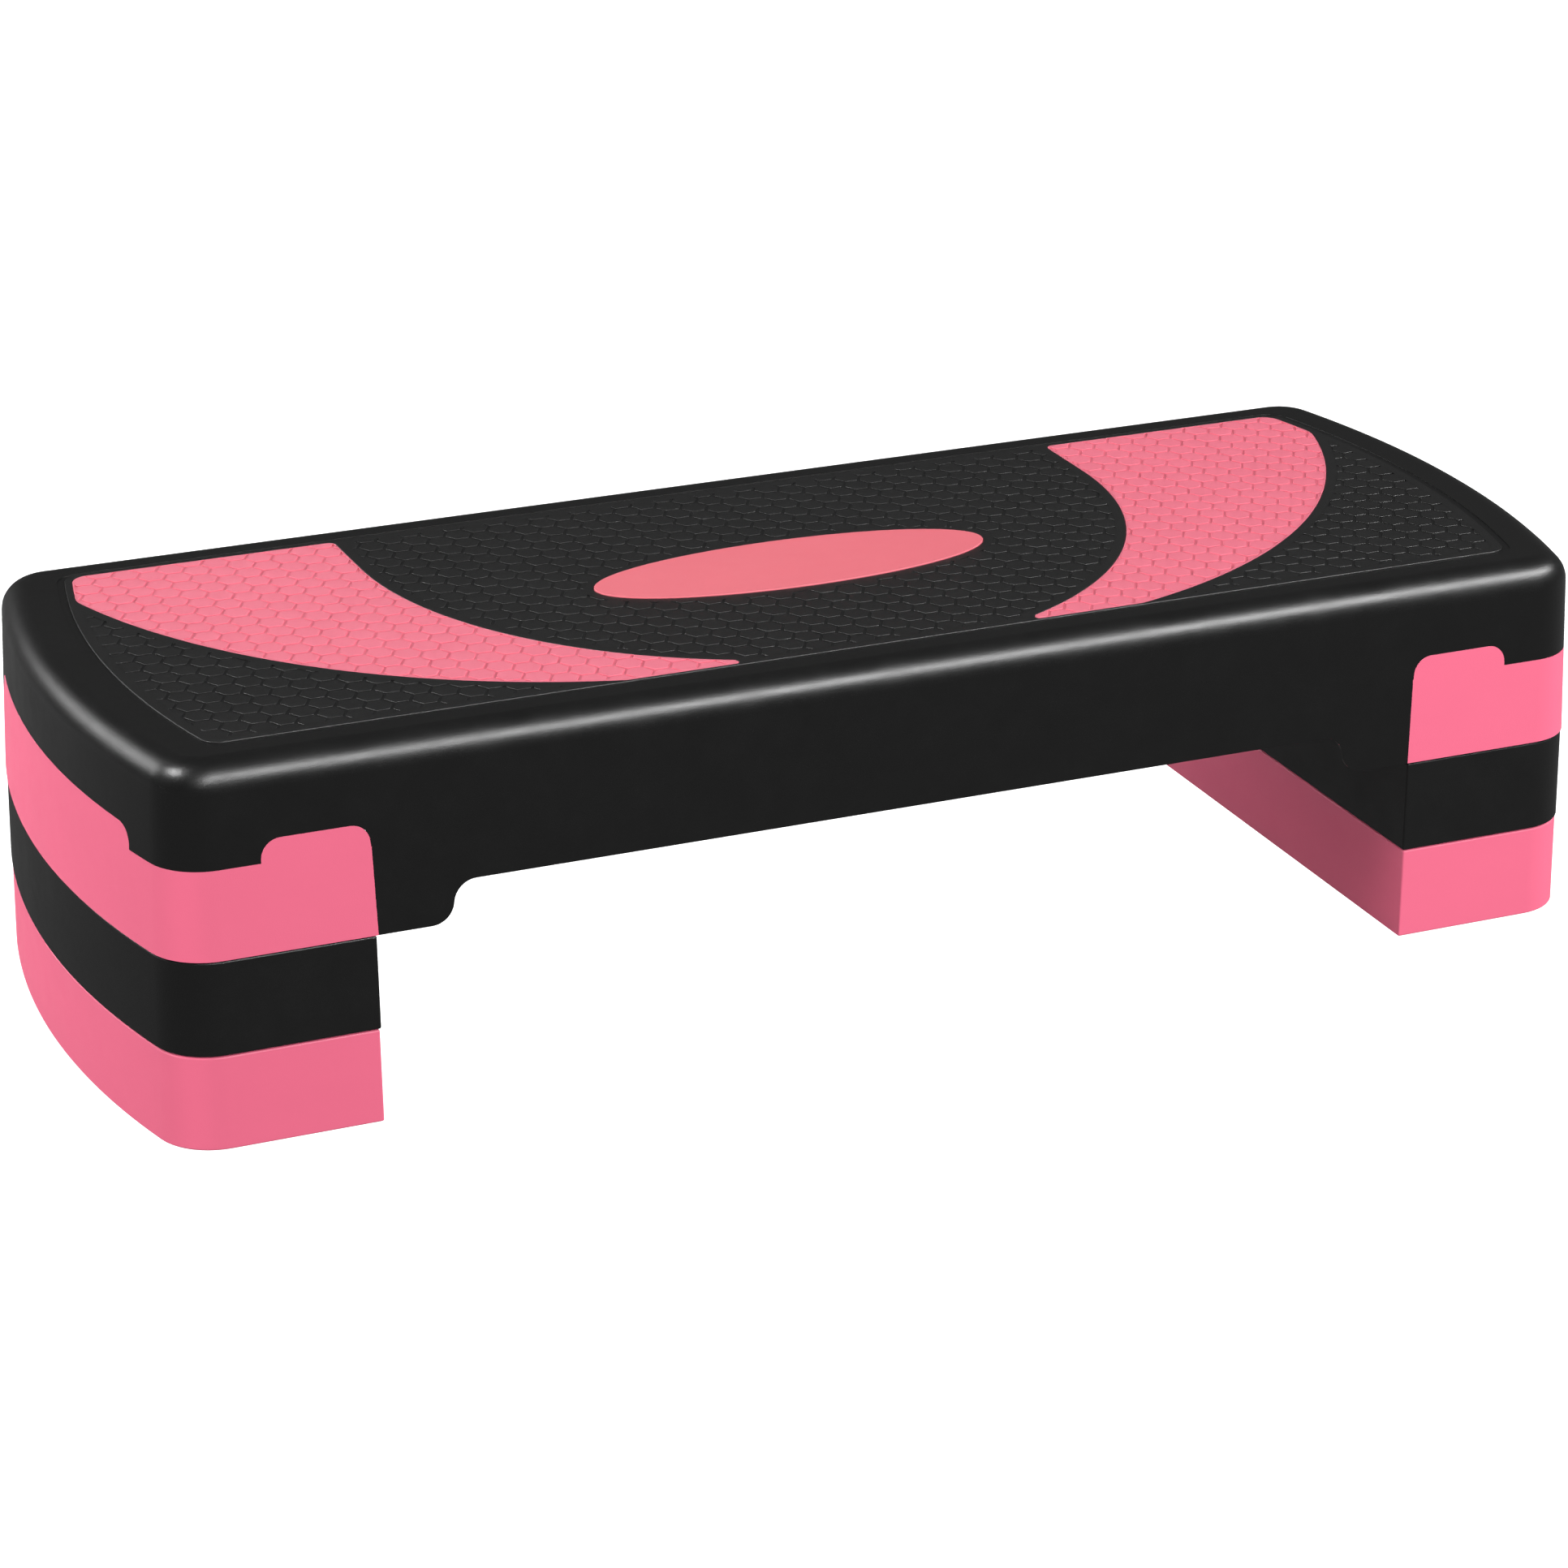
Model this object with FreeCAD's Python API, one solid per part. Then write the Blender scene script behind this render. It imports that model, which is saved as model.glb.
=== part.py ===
"""Height-adjustable aerobic step: a deck on two end caps, with two riser blocks under each end.

Frame, in millimetres: origin on the floor under the middle of the step, +X along its length,
+Y towards its back edge, +Z up. Each end is made once, for the +X end, and mirrored for the -X end.
"""
import FreeCAD, Part
import math
import os

V = FreeCAD.Vector
os.makedirs("parts", exist_ok=True)

# --- Overall sizes ---
LENGTH = 820.0            # over the crowns of the two rounded ends
WIDTH = 318.0             # front side to back side
END_ARC_R = 560.0         # plan radius of the rounded ends
CORNER_R = 30.0           # plan radius between a side and a rounded end
INNER_X = 286.0           # flat inner face of the risers and caps, from the middle

# --- Heights of the layers ---
RISER_H = 50.0            # each riser block, and each step in height
CAP_H = 47.0              # band of the end cap below the deck skirt
DECK_H = 100.0            # deck with its end caps, as used with no risers
RISERS = 2                # riser blocks under each end
LAYER_GAP = 0.6           # stand-off of the rubber feet between two layers

# --- Moulded walls ---
SKIRT_T = 3.0             # deck skirt
TOP_T = 3.6               # deck top plate under the mat
BLOCK_T = 3.0             # riser and cap walls
PLATE_T = 3.6             # riser and cap top plates
RIB_T = 2.4               # every rib
DECK_DRAFT = 3.5          # how far the deck and its caps lean in over their height
BLOCK_DRAFT = 0.6         # how far a riser's walls lean in towards its top
TOP_EDGE_R = 15.0         # rounding of the deck's top edge
BLOCK_EDGE_R = 1.2        # rounding of the riser's top edge

# --- Deck skirt, seen from the front ---
ARCH_RISE = 21.5          # straight bottom edge of the skirt above the lugs' bottoms
LUG_W = 27.5              # flat bottom of a lug, inwards from the cap
ARCH_RUN = 23.5           # length of the S-curve from a lug up to the straight edge

# --- Tabs of the end cap let into the skirt ---
TAB_H = 12.0              # rise of a tab above the cap's band
SIDE_TAB_W = 57.0         # length of the front and back tabs, from the cap's inner face
END_TAB_IN = 43.0         # end tab's distance from the front and back sides
TAB_R = 10.0              # rounding of a tab's top corners
TAB_T = 3.0               # thickness of a tab
TAB_ROOT = 4.0            # depth of a tab's root below the top of the band
FIT_GAP = 0.3             # between fixed mouldings

# --- Tread mat and its coloured inlays ---
MAT_T = 3.0               # mat and inlays
MAT_PROUD = 0.4           # how far they stand above the deck's border
MAT_END = 36.0            # border between the mat and a rounded end
MAT_SIDE = 30.5           # border between the mat and a side
MAT_ARC_R = 520.0
MAT_CORNER_R = 10.0
MAT_GAP = 0.3             # around the mat and around each inlay
INLAY_SIDE = 2.0          # crescent's distance from the mat's front and back edges
INLAY_END = 4.0           # crescent's distance from the mat's rounded end
INNER_START_IN = 163.0    # straight start of its inner edge at the back, from the mat's crown
INNER_START_L = 47.5      # length of that straight start
INNER_R = 221.0           # the inner edge's arc
OUTER_START_L = 36.5      # how far the crescent follows the mat's end
OUTER_R = 315.0           # the outer edge's arc
OUTER_FRONT_IN = 231.5    # where that arc reaches the front edge, from the mat's crown
TIP_BLUNT = 11.0          # length cut off a crescent's tip
INLAY_CORNER_R = 4.0      # rounding of a crescent's wide corners
TIP_R = 1.6               # rounding of its tip's corners
OVAL_A = 110.5            # half-length of the oval badge
OVAL_B = 35.5             # its half-width
OVAL_PROUD = 0.6          # how far the oval stands above the mat

# --- Locating studs and their sockets ---
STUD_R = 11.0             # stud on the top of a riser
STUD_H = 9.0
STUD_LEAD = 1.5           # chamfer of a stud's rim
STUD_WALL = 2.4
STUD_CLEAR = 0.5          # radial clearance of a stud in its socket
SOCKET_WALL = 2.6
STUD_IN = 26.0            # first row of studs, from the block's inner face
STUD_PITCH = 58.0         # from the first row to the second, along the step
STUD_SIDE = 74.0          # studs' distance from the front and back sides

# --- Rubber feet ---
FOOT_R = 8.0
FOOT_DEPTH = 4.0          # depth of the foot's pocket
FOOT_WALL = 2.6           # wall of the pocket around the foot
FOOT_CLEAR = 0.15
FOOT_FLOOR = 2.4          # moulded plastic behind the foot
FOOT_IN = 15.5            # inner feet, from the block's inner face
FOOT_SIDE = 19.0          # inner feet, from the front and back sides

# --- Screws that hold a cap to the deck ---
SCREW_R = 2.0             # thread of the screw
HEAD_R = 4.2
HEAD_H = 2.6
HEAD_CLEAR = 1.5          # radial, where a rib or post passes the head
CROSS_W = 1.0             # cross recess of the head
CROSS_L = 5.0
CROSS_DEPTH = 1.3
SCREW_LEN = 18.0          # under the head
SCREW_HOLE_CLEAR = 0.3    # radial, in the cap's plate
PILOT_CLEAR = 0.05        # radial, in the deck's boss
BOSS_R = 5.5
SCREW_IN = 16.0           # inner screws, from the cap's inner face
SCREW_SIDE = 47.0         # inner screws, from the front and back sides
SCREW_END = 22.0          # outer screws, from the crown of the rounded end
SCREW_HALF_PITCH = 50.0   # outer screws, from the centre line

# --- Ribs ---
DECK_RIB_H = 22.0         # depth of the deck's ribs below its top plate
DECK_RIB_PITCH = 62.0     # target spacing of the deck's cross ribs
DECK_LONG_RIBS = 3        # ribs along the deck
BLOCK_RIB_PITCH = 60.0    # target spacing of the ribs of a riser or cap
BLOCK_RIB_RISE = 2.0      # ribs' lower edges above the block's rim
BITE = 0.5                # how deep ribs and studs run into the wall they join

# --- Worked out from the sizes above ---
HEIGHT = DECK_H + RISERS * RISER_H
CAP_Z = RISERS * RISER_H
BAND_Z = CAP_Z + CAP_H
HALF_L = LENGTH / 2
HALF_W = WIDTH / 2
SOCKET_R = STUD_R + STUD_CLEAR
RECESS_Z = HEIGHT + MAT_PROUD - MAT_T
MAT_HALF_X = HALF_L - MAT_END
MAT_HALF_Y = HALF_W - MAT_SIDE
INLAY_HALF_Y = MAT_HALF_Y - INLAY_SIDE
INNER_START_X = MAT_HALF_X - INNER_START_IN
OUTER_FRONT_X = MAT_HALF_X - OUTER_FRONT_IN
STUD_PLACES = ((INNER_X + STUD_IN, HALF_W - STUD_SIDE),
               (INNER_X + STUD_IN + STUD_PITCH, HALF_W - STUD_SIDE))
SCREW_PLACES = ((INNER_X + SCREW_IN, HALF_W - SCREW_SIDE), (HALF_L - SCREW_END, SCREW_HALF_PITCH))


def arc(a, mid, b):
    return Part.Arc(a, mid, b).toShape()


def line(a, b):
    return Part.makeLine(a, b)


def on_circle(cx, cy, r, angle, z):
    return V(cx + r * math.cos(angle), cy + r * math.sin(angle), z)


def end_corner(half_l, half_w, arc_r, corner_r):
    """Centre of the corner arc that joins a straight side to a rounded end, at the +X +Y corner."""
    cx = half_l - arc_r + math.sqrt((arc_r - corner_r) ** 2 - (half_w - corner_r) ** 2)
    return cx, half_w - corner_r


def end_edges(half_l, half_w, arc_r, corner_r, z):
    """Edges of the rounded +X end, from its front side round to its back side."""
    ox = half_l - arc_r
    cx, cy = end_corner(half_l, half_w, arc_r, corner_r)
    swing = math.atan2(cy, cx - ox)
    mid_turn = (swing + math.pi / 2) / 2
    front = V(cx, -half_w, z)
    back = V(cx, half_w, z)
    low = on_circle(ox, 0, arc_r, -swing, z)
    high = on_circle(ox, 0, arc_r, swing, z)
    return [arc(front, on_circle(cx, -cy, corner_r, -mid_turn, z), low),
            arc(low, V(half_l, 0, z), high),
            arc(high, on_circle(cx, cy, corner_r, mid_turn, z), back)], front, back


def mirrored_x(shape):
    return shape.mirror(V(0, 0, 0), V(1, 0, 0))


def mirrored_y(shape):
    return shape.mirror(V(0, 0, 0), V(0, 1, 0))


def plan_wire(half_l, half_w, arc_r, corner_r, z):
    """Outline of the whole step in plan: two straight sides and two rounded ends."""
    edges, front, back = end_edges(half_l, half_w, arc_r, corner_r, z)
    far_front = V(-front.x, front.y, z)
    far_back = V(-back.x, back.y, z)
    far = [mirrored_x(e) for e in edges]
    return Part.Wire(Part.__sortEdges__([line(far_front, front)] + edges + [line(back, far_back)] + far))


def block_wire(inset, z):
    """Outline of one end block in plan, with a flat inner side and a rounded outer end."""
    inner_x = INNER_X + inset
    half_w = HALF_W - inset
    corner_r = max(CORNER_R - inset, 1.0)
    edges, front, back = end_edges(HALF_L - inset, half_w, END_ARC_R - inset, corner_r, z)
    corners = [V(inner_x, -half_w, z), V(inner_x, half_w, z)]
    return Part.Wire(Part.__sortEdges__([line(corners[0], front)] + edges
                                        + [line(back, corners[1]), line(corners[1], corners[0])]))


def between(low_wire, high_wire):
    return Part.makeLoft([low_wire, high_wire], True, True)


def slab(wire, height):
    return Part.Face(wire).extrude(V(0, 0, height))


def box(x0, x1, y0, y1, z0, z1):
    return Part.makeBox(x1 - x0, y1 - y0, z1 - z0, V(x0, y0, z0))


def rod(x, y, z0, z1, r):
    return Part.makeCylinder(r, z1 - z0, V(x, y, z0))


def one_solid(shape):
    """The shape cleaned of seams left by joins, as its solid or solids."""
    clean = shape.removeSplitter()
    solids = clean.Solids
    return solids[0] if len(solids) == 1 else Part.makeCompound(solids)


def both_y(places):
    return [(x, side * y) for x, y in places for side in (-1, 1)]


def even_steps(low, high, pitch):
    """Places that divide a span into equal bays of about one pitch, without its two ends."""
    bays = max(2, round((high - low) / pitch))
    return [low + (high - low) * i / bays for i in range(1, bays)]


def foot_holder(z0, top):
    """Foot bosses of one block: posts with a pocket in the bottom for the rubber foot."""
    posts = []
    pockets = []
    for x, y in foot_places():
        posts.append(rod(x, y, z0, top, FOOT_R + FOOT_WALL))
        pockets.append(rod(x, y, z0 - 1, z0 + FOOT_DEPTH, FOOT_R + FOOT_CLEAR))
        pockets.append(rod(x, y, z0 + FOOT_DEPTH + FOOT_FLOOR, top, FOOT_R))
    return posts, pockets


def foot_places():
    """Two feet near the block's inner face and two at the centres of its rounded corners."""
    return both_y([(INNER_X + FOOT_IN, HALF_W - FOOT_SIDE),
                   end_corner(HALF_L, HALF_W, END_ARC_R, CORNER_R)])


def block_shell(z0, height, draft, with_studs):
    """Hollow end block, open below, with ribs, stud sockets and foot bosses inside."""
    bottom = z0 + LAYER_GAP
    top = z0 + height
    roof = top - PLATE_T
    rib_z = bottom + BLOCK_RIB_RISE
    outer = between(block_wire(0, bottom), block_wire(draft, top))
    hollow = between(block_wire(BLOCK_T, bottom - 1), block_wire(BLOCK_T + draft, roof))
    room = between(block_wire(BLOCK_T - BITE, bottom), block_wire(BLOCK_T - BITE + draft, roof + BITE))
    inside = []
    cuts = []
    mid_x = (INNER_X + HALF_L) / 2
    inside.append(box(mid_x - RIB_T / 2, mid_x + RIB_T / 2, -HALF_W, HALF_W, rib_z, roof + 1))
    for y in even_steps(-HALF_W, HALF_W, BLOCK_RIB_PITCH):
        inside.append(box(INNER_X, HALF_L, y - RIB_T / 2, y + RIB_T / 2, rib_z, roof + 1))
    for x, y in both_y(STUD_PLACES):
        inside.append(rod(x, y, bottom, roof + 1, SOCKET_R + SOCKET_WALL))
        cuts.append(rod(x, y, bottom - 1, roof, SOCKET_R))
    posts, pockets = foot_holder(bottom, roof)
    inside += posts
    cuts += pockets
    ribs = inside[0].multiFuse(inside[1:]).common(room)
    shell = outer.cut(hollow).fuse(ribs).cut(Part.makeCompound(cuts))
    if with_studs:
        shell = shell.fuse(Part.makeCompound([stud(x, y, top) for x, y in both_y(STUD_PLACES)]))
        well_z = top + STUD_H - STUD_WALL
        wells = [rod(x, y, roof - 1, well_z, STUD_R - STUD_WALL) for x, y in both_y(STUD_PLACES)]
        shell = shell.cut(Part.makeCompound(wells))
    return shell


def stud(x, y, z0):
    """Locating stud with a chamfered rim."""
    shoulder = z0 + STUD_H - STUD_LEAD
    post = rod(x, y, z0 - BITE, shoulder, STUD_R)
    tip = Part.makeCone(STUD_R, STUD_R - STUD_LEAD, STUD_LEAD, V(x, y, shoulder))
    return post.fuse(tip)


def riser(z0):
    """One riser block whose top edge is softly rounded."""
    shell = one_solid(block_shell(z0, RISER_H, BLOCK_DRAFT, True))
    top = z0 + RISER_H
    rim = [e for e in shell.Edges
           if abs(e.BoundBox.ZMin - top) < 0.01 and abs(e.BoundBox.ZMax - top) < 0.01
           and not around_stud(e)]
    return shell.makeFillet(BLOCK_EDGE_R, rim)


def around_stud(edge):
    return isinstance(edge.Curve, Part.Circle) and abs(edge.Curve.Radius - STUD_R) < 0.01


def lean(z):
    """How far the deck's and caps' walls stand in from the full plan at a height."""
    return DECK_DRAFT * (z - CAP_Z) / (HEIGHT - CAP_Z)


def tab_face(low_foot, low_top, high, gap, at):
    """A tab with rounded top corners as seen from outside. at() places a distance along it and a height."""
    foot = BAND_Z - TAB_ROOT
    top = BAND_Z + TAB_H + gap
    r = TAB_R + gap
    k = r * math.sqrt(0.5)
    low_foot, low_top, high = low_foot - gap, low_top - gap, high + gap
    return Part.Face(Part.Wire([
        line(at(low_foot, foot), at(high, foot)),
        line(at(high, foot), at(high, top - r)),
        arc(at(high, top - r), at(high - r + k, top - r + k), at(high - r, top)),
        line(at(high - r, top), at(low_top + r, top)),
        arc(at(low_top + r, top), at(low_top + r - k, top - r + k), at(low_top, top - r)),
        line(at(low_top, top - r), at(low_foot, foot))]))


def side_tab(gap):
    """Back tab of a cap, grown by a gap, as a prism through the skirt's thickness."""
    y = HALF_W + 1
    low_foot = INNER_X + lean(BAND_Z - TAB_ROOT)
    low_top = INNER_X + lean(BAND_Z + TAB_H)
    face = tab_face(low_foot, low_top, INNER_X + SIDE_TAB_W, gap, lambda u, z: V(u, y, z))
    return face.extrude(V(0, -(TAB_T + 1 + 2 * DECK_DRAFT), 0))


def end_tab(gap):
    """Tab on the rounded end, grown by a gap, as a prism towards the middle."""
    half = HALF_W - END_TAB_IN
    sagitta = END_ARC_R - math.sqrt(END_ARC_R ** 2 - HALF_W ** 2)
    face = tab_face(-half, -half, half, gap, lambda u, z: V(HALF_L + 1, u, z))
    return face.extrude(V(-(sagitta + TAB_T + 2 * DECK_DRAFT), 0, 0))


def deck_wire(inset, z):
    i = inset + lean(z)
    return plan_wire(HALF_L - i, HALF_W - i, END_ARC_R - i, max(CORNER_R - i, 1.0), z)


def deck_form(inset, z0, z1):
    return between(deck_wire(inset, z0), deck_wire(inset, z1))


def cap_ring(z1, outer_inset, inner_inset):
    """Wall of the cap that stands inside the skirt's line, up to a height."""
    return deck_form(outer_inset, BAND_Z - 3, z1).cut(deck_form(inner_inset, BAND_Z - 4, z1 + 1))


def cap_screw_bosses():
    """Posts under the deck plate that the cap's screws bite into."""
    posts = []
    pilots = []
    for x, y in both_y(SCREW_PLACES):
        posts.append(rod(x, y, BAND_Z + FIT_GAP, RECESS_Z - TOP_T + 1, BOSS_R))
        pilots.append(rod(x, y, BAND_Z - 1, BAND_Z - PLATE_T + SCREW_LEN + 2, SCREW_R + PILOT_CLEAR))
    return posts, pilots


def end_cap():
    """Coloured cap under one end of the deck, flush with the skirt, with three tabs let into it."""
    shell = block_shell(CAP_Z, CAP_H, lean(BAND_Z), False)
    tabs = side_tab(0).fuse(mirrored_y(side_tab(0))).fuse(end_tab(0))
    walls = cap_ring(BAND_Z + TAB_H + 1, 0, TAB_T)
    keep = box(INNER_X, HALF_L + 2, -HALF_W - 2, HALF_W + 2, BAND_Z - 3, BAND_Z + TAB_H + 1)
    shell = shell.fuse(tabs.common(walls).common(keep))
    holes = [rod(x, y, BAND_Z - PLATE_T - 1, BAND_Z + 1, SCREW_R + SCREW_HOLE_CLEAR)
             for x, y in both_y(SCREW_PLACES)]
    clear = [rod(x, y, CAP_Z, BAND_Z - PLATE_T, HEAD_R + HEAD_CLEAR) for x, y in both_y(SCREW_PLACES)]
    return one_solid(shell.cut(Part.makeCompound(holes + clear)))


def skirt_cutter():
    """Space below the skirt: the caps' seats at the ends and the arch in the middle, cut front to back."""
    y = HALF_W + 5
    low = CAP_Z - 5
    lug_z = CAP_Z + LAYER_GAP
    lug_x = INNER_X - LUG_W
    arch_x = lug_x - ARCH_RUN
    arch_z = lug_z + ARCH_RISE
    run = ARCH_RUN / 2
    rise = ARCH_RISE / 2
    r = (run ** 2 + rise ** 2) / (2 * rise)
    turn = math.atan2(rise, run)
    low_mid = V(lug_x - r * math.sin(turn), y, lug_z + r * (1 - math.cos(turn)))
    high_mid = V(arch_x + r * math.sin(turn), y, arch_z - r * (1 - math.cos(turn)))
    seat_x = INNER_X - FIT_GAP
    seat_z = BAND_Z + FIT_GAP
    seat_top = V(seat_x + lean(BAND_Z), y, seat_z)
    far = HALF_L + 5

    def half(side):
        def at(p):
            return V(side * p.x, p.y, p.z)
        lug_in = V(lug_x, y, lug_z)
        arch = V(arch_x, y, arch_z)
        knee = V(lug_x - run, y, lug_z + rise)
        return [line(at(V(far, y, low)), at(V(far, y, seat_z))),
                line(at(V(far, y, seat_z)), at(seat_top)),
                line(at(seat_top), at(V(seat_x, y, lug_z))),
                line(at(V(seat_x, y, lug_z)), at(lug_in)),
                arc(at(lug_in), at(low_mid), at(knee)),
                arc(at(knee), at(high_mid), at(arch))]

    edges = half(1) + half(-1) + [line(V(-arch_x, y, arch_z), V(arch_x, y, arch_z)),
                                  line(V(far, y, low), V(-far, y, low))]
    wire = Part.Wire(Part.__sortEdges__(edges))
    return Part.Face(wire).extrude(V(0, -2 * y, 0))


def deck_ribs():
    """Grid of ribs under the deck's top plate."""
    z0 = RECESS_Z - TOP_T - DECK_RIB_H
    z1 = RECESS_Z - TOP_T + 1
    ribs = []
    for x in even_steps(-HALF_L, HALF_L, DECK_RIB_PITCH):
        ribs.append(box(x - RIB_T / 2, x + RIB_T / 2, -HALF_W, HALF_W, z0, z1))
    for y in even_steps(-HALF_W, HALF_W, WIDTH / (DECK_LONG_RIBS + 1)):
        ribs.append(box(-HALF_L, HALF_L, y - RIB_T / 2, y + RIB_T / 2, z0, z1))
    return ribs


def deck_shell():
    """Black deck moulding: border and top plate, skirt with lugs and arch, ribs and screw bosses."""
    outer = deck_form(0, CAP_Z, HEIGHT)
    rim = [e for e in outer.Edges if e.BoundBox.ZMin > HEIGHT - 0.01]
    outer = outer.makeFillet(TOP_EDGE_R, rim)
    under = RECESS_Z - TOP_T
    inner = deck_form(SKIRT_T, CAP_Z - 1, under)
    inner_rim = [e for e in inner.Edges if e.BoundBox.ZMin > under - 0.01]
    inner = inner.makeFillet(TOP_EDGE_R - SKIRT_T, inner_rim)
    posts, pilots = cap_screw_bosses()
    inside = deck_ribs() + posts
    room = deck_form(SKIRT_T - BITE, CAP_Z, under + BITE)
    grid = inside[0].multiFuse(inside[1:]).common(room).common(outer)
    shell = outer.cut(inner).fuse(grid)
    recess = slab(mat_wire(-MAT_GAP, RECESS_Z), MAT_T + 5)
    tabs = side_tab(FIT_GAP).fuse(mirrored_y(side_tab(FIT_GAP))).fuse(end_tab(FIT_GAP))
    tab_band = cap_ring(BAND_Z + TAB_H + 5, -3, TAB_T + FIT_GAP)
    pockets = tabs.common(tab_band)
    cuts = [recess, skirt_cutter(), pockets, mirrored_x(pockets)]
    cuts += pilots + [mirrored_x(p) for p in pilots]
    return one_solid(shell.cut(Part.makeCompound(cuts)))


def mat_wire(inset, z):
    return plan_wire(MAT_HALF_X - inset, MAT_HALF_Y - inset, MAT_ARC_R - inset, MAT_CORNER_R - inset, z)


def circle_centre(p, q, r):
    """Centre of the circle of a radius through two points, on the left of the way from p to q."""
    mid = (p + q) * 0.5
    half = (q - p) * 0.5
    offset = math.sqrt(r ** 2 - half.Length ** 2)
    side = V(-half.y, half.x, 0).normalize()
    return mid + side * offset


def crescent(grow, z, height):
    """Crescent inlay of the +X end: inner and outer arcs, cut off by the mat's front and back borders."""
    inner = V(INNER_START_X - INNER_R, INLAY_HALF_Y - INNER_START_L, 0)
    end_half_x = MAT_HALF_X - INLAY_END
    end_r = MAT_ARC_R - INLAY_END
    corner_y = INLAY_HALF_Y - OUTER_START_L
    corner = V(end_half_x - end_r + math.sqrt(end_r ** 2 - corner_y ** 2), corner_y, 0)
    outer = circle_centre(V(OUTER_FRONT_X, -INLAY_HALF_Y, 0), corner, OUTER_R)
    front_reach = INLAY_HALF_Y + inner.y
    tip_x = inner.x + math.sqrt(INNER_R ** 2 - front_reach ** 2) + TIP_BLUNT
    limit = INLAY_HALF_Y + grow
    body = rod(outer.x, outer.y, z, z + height, OUTER_R + grow)
    field = slab(plan_wire(end_half_x + grow, limit, end_r + grow, MAT_CORNER_R, z), height)
    hole = rod(inner.x, inner.y, z - 1, z + height + 1, INNER_R - grow)
    right = box(tip_x - grow, MAT_HALF_X, -limit, limit, z, z + height)
    straight = box(-MAT_HALF_X, INNER_START_X - grow, inner.y, limit + 1, z - 1, z + height + 1)
    shape = body.common(field).common(right).cut(hole).cut(straight)
    wide = sharp_corners(shape, height, tip_x + 1, MAT_HALF_X)
    shape = shape.makeFillet(INLAY_CORNER_R, wide).Solids[0]
    tip = sharp_corners(shape, height, 0, tip_x + 1)
    return shape.makeFillet(TIP_R, tip).Solids[0]


def sharp_corners(shape, height, x0, x1):
    """Upright edges of a flat plate where its outline has a corner, between two places in X."""
    upright = [e for e in shape.Edges if abs(e.BoundBox.ZLength - height) < 0.1 and e.Length < height + 0.01]
    return [e for e in upright if x0 < e.Vertexes[0].Point.x < x1 and sharp(shape, e)]


def sharp(shape, edge):
    """True where two faces meet at this upright edge with a corner, not a tangent."""
    faces = [f for f in shape.Faces if any(e.isSame(edge) for e in f.Edges)]
    if len(faces) != 2:
        return False
    point = edge.Vertexes[0].Point
    normals = [f.normalAt(*f.Surface.parameter(point)) for f in faces]
    return normals[0].getAngle(normals[1]) > math.radians(15)


def ellipse_wire(grow, z):
    curve = Part.Ellipse(V(0, 0, z), OVAL_A + grow, OVAL_B + grow)
    return Part.Wire(curve.toShape())


def oval_badge():
    shape = slab(ellipse_wire(0, RECESS_Z), MAT_T + OVAL_PROUD)
    top = [e for e in shape.Edges if e.BoundBox.ZMin > RECESS_Z + MAT_T]
    return shape.makeFillet(OVAL_PROUD, top)


def tread_mat():
    sheet = slab(mat_wire(0, RECESS_Z), MAT_T)
    gap = crescent(MAT_GAP, RECESS_Z - 1, MAT_T + 2)
    oval_gap = slab(ellipse_wire(MAT_GAP, RECESS_Z - 1), MAT_T + 2)
    return one_solid(sheet.cut(Part.makeCompound([gap, mirrored_x(gap), oval_gap])))


def feet(z0):
    """Rubber feet of one block, pressed into their pockets and standing on the layer below."""
    return Part.makeCompound([rod(x, y, z0, z0 + LAYER_GAP + FOOT_DEPTH, FOOT_R)
                              for x, y in foot_places()])


def cap_screws():
    """Pan-head screws that hold a cap to the deck from below."""
    under = BAND_Z - PLATE_T
    solids = []
    for x, y in both_y(SCREW_PLACES):
        head = rod(x, y, under - HEAD_H, under, HEAD_R)
        head = head.makeFillet(HEAD_H / 2, [e for e in head.Edges if e.BoundBox.ZMax < under - HEAD_H + 0.01])
        slot = box(x - CROSS_L / 2, x + CROSS_L / 2, y - CROSS_W / 2, y + CROSS_W / 2,
                   under - HEAD_H - 1, under - HEAD_H + CROSS_DEPTH)
        cross = slot.copy()
        cross.rotate(V(x, y, 0), V(0, 0, 1), 90)
        solids.append(head.cut(slot).cut(cross).fuse(rod(x, y, under, under + SCREW_LEN, SCREW_R)))
    return Part.makeCompound([s.removeSplitter().Solids[0] for s in solids])


def save(name, shape):
    shape.exportStep("parts/" + name + ".step")


def save_pair(name, shape):
    """The +X end's piece as the right one, and its mirror image as the left one."""
    save("right_" + name, shape)
    save("left_" + name, mirrored_x(shape))


save("deck_shell", deck_shell())
save("tread_mat", tread_mat())
save("oval_badge", oval_badge())
save_pair("crescent_inlay", crescent(0, RECESS_Z, MAT_T))
save_pair("end_cap", end_cap())
save_pair("cap_screws", cap_screws())
save_pair("cap_feet", feet(CAP_Z))
for level, name in enumerate(("low", "mid")):
    base = level * RISER_H
    save_pair(name + "_riser", riser(base))
    save_pair(name + "_feet", feet(base))
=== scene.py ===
"""Looks of the height-adjustable aerobic step: deck, tread mat with its inlays, end caps and riser blocks.

Metres, in the same frame as the frame it loads. Sizes are in millimetres and pass through MM.
Each end is modelled once, at the +X end, and its mirror image makes the other end.
"""

import math

import bpy
from mathutils import Matrix, Vector


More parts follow.
